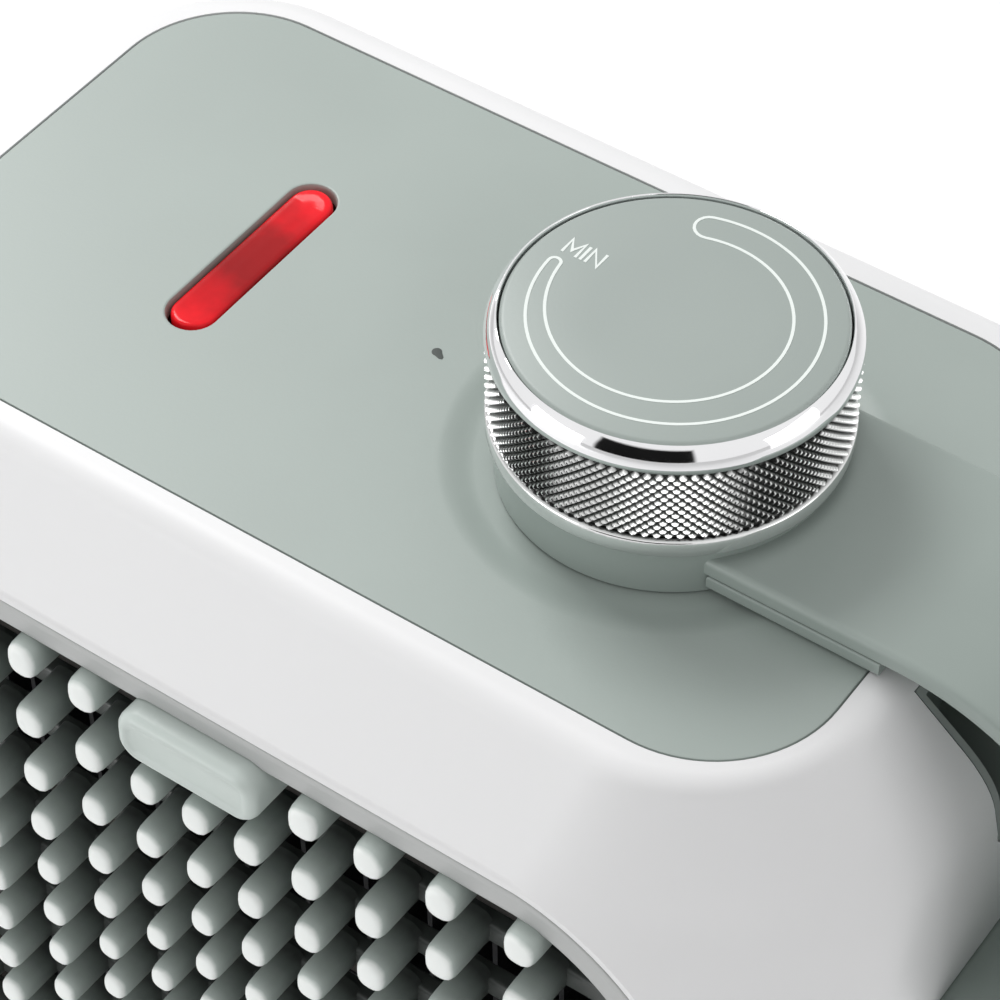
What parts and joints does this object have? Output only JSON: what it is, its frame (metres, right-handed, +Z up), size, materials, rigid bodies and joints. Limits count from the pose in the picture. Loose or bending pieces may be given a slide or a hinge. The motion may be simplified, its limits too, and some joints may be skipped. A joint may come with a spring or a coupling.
{
  "type": "fan heater",
  "caption": "Compact ceramic fan heater: rounded shell, inset top panel, knurled dial, rocker, strap handle over one shoulder and a front grille of pins.",
  "frame": {"origin": "on the surface that the feet stand on, below the middle of the whole object's box", "axes": "+Z up, -Y out of the front grille, +X towards the handle"},
  "size_m": [0.2258, 0.1406, 0.2607],
  "materials": {
    "shell_white": "smooth satin white",
    "panel_green": "satin sage green",
    "strap_green": "satin sage green, soft edge",
    "liner_green": "dark green",
    "grille_green": "grey green, fine grain",
    "badge_green": "pale grey green",
    "dial_chrome": "knurled chrome plate",
    "bezel_chrome": "polished chrome plate",
    "disc_green": "satin with pale printed scale",
    "rocker_red": "translucent red",
    "inner_plastic": "moulded dark plastic",
    "heater_mica": "heat-resistant board",
    "fins_aluminium": "thin bare fins",
    "ceramic": "fired ceramic",
    "steel": "plain",
    "brass": "sintered",
    "fan_white": "moulded",
    "black_plastic": "moulded",
    "lamp_glass": "clear orange",
    "filter_mesh": "fine dust mesh in a frame",
    "foot_rubber": "soft",
    "screw_steel": "zinc plated"
  },
  "bodies": {
    "body": {"shell": "shell_white", "top_panel": "panel_green", "handle_cover": "strap_green", "handle_core": "strap_green", "handle_liner": "liner_green", "handle_bracket": "inner_plastic", "front_grille": "grille_green", "grille_badge": "badge_green", "thermostat_body": "black_plastic", "thermostat_nut": "steel", "rocker_housing": "inner_plastic", "rocker_pin": "steel", "neon_lamp": "lamp_glass", "heater_frame": "heater_mica", "heat_fins_1": "fins_aluminium", "heat_fins_2": "fins_aluminium", "heat_fins_3": "fins_aluminium", "ptc_bar_1": "ceramic", "ptc_bar_2": "ceramic", "heater_terminal_1": "brass", "heater_terminal_2": "brass", "thermal_cutout": "black_plastic", "fan_shroud": "inner_plastic", "fan_motor": "steel", "motor_bearing": "brass", "motor_bracket": "steel", "tip_switch": "black_plastic", "terminal_block": "ceramic", "cord_gland": "black_plastic", "rear_cover": "shell_white", "rear_filter": "filter_mesh", "base_plate": "inner_plastic", "foot_1": "foot_rubber", "rear_screw_1": "screw_steel", "base_screw_1": "screw_steel", "foot_2": "foot_rubber", "rear_screw_2": "screw_steel", "base_screw_2": "screw_steel", "foot_3": "foot_rubber", "rear_screw_3": "screw_steel", "base_screw_3": "screw_steel", "foot_4": "foot_rubber", "rear_screw_4": "screw_steel", "base_screw_4": "screw_steel"},
    "dial": {"dial_sleeve": "dial_chrome", "dial_bezel": "bezel_chrome", "dial_disc": "disc_green", "dial_hub": "inner_plastic", "thermostat_shaft": "steel"},
    "rocker": {"rocker": "rocker_red"},
    "fan": {"fan_wheel": "fan_white", "motor_shaft": "steel"}
  },
  "joints": [
    {"name": "dial_turn", "type": "hinge", "parent": "body", "child": "dial", "pos_m": [0.02597, 0.00146, 0.245], "axis": [0, 0, -1], "range_deg": [0, 290]},
    {"name": "rocker_tilt", "type": "hinge", "parent": "body", "child": "rocker", "pos_m": [-0.04933, 0.00056, 0.227], "axis": [1, 0, 0], "range_deg": [-6, 6]},
    {"name": "fan_spin", "type": "hinge", "parent": "body", "child": "fan", "pos_m": [-0.01283, 0.00146, 0.12], "axis": [0, 1, 0], "continuous": true}
  ]
}
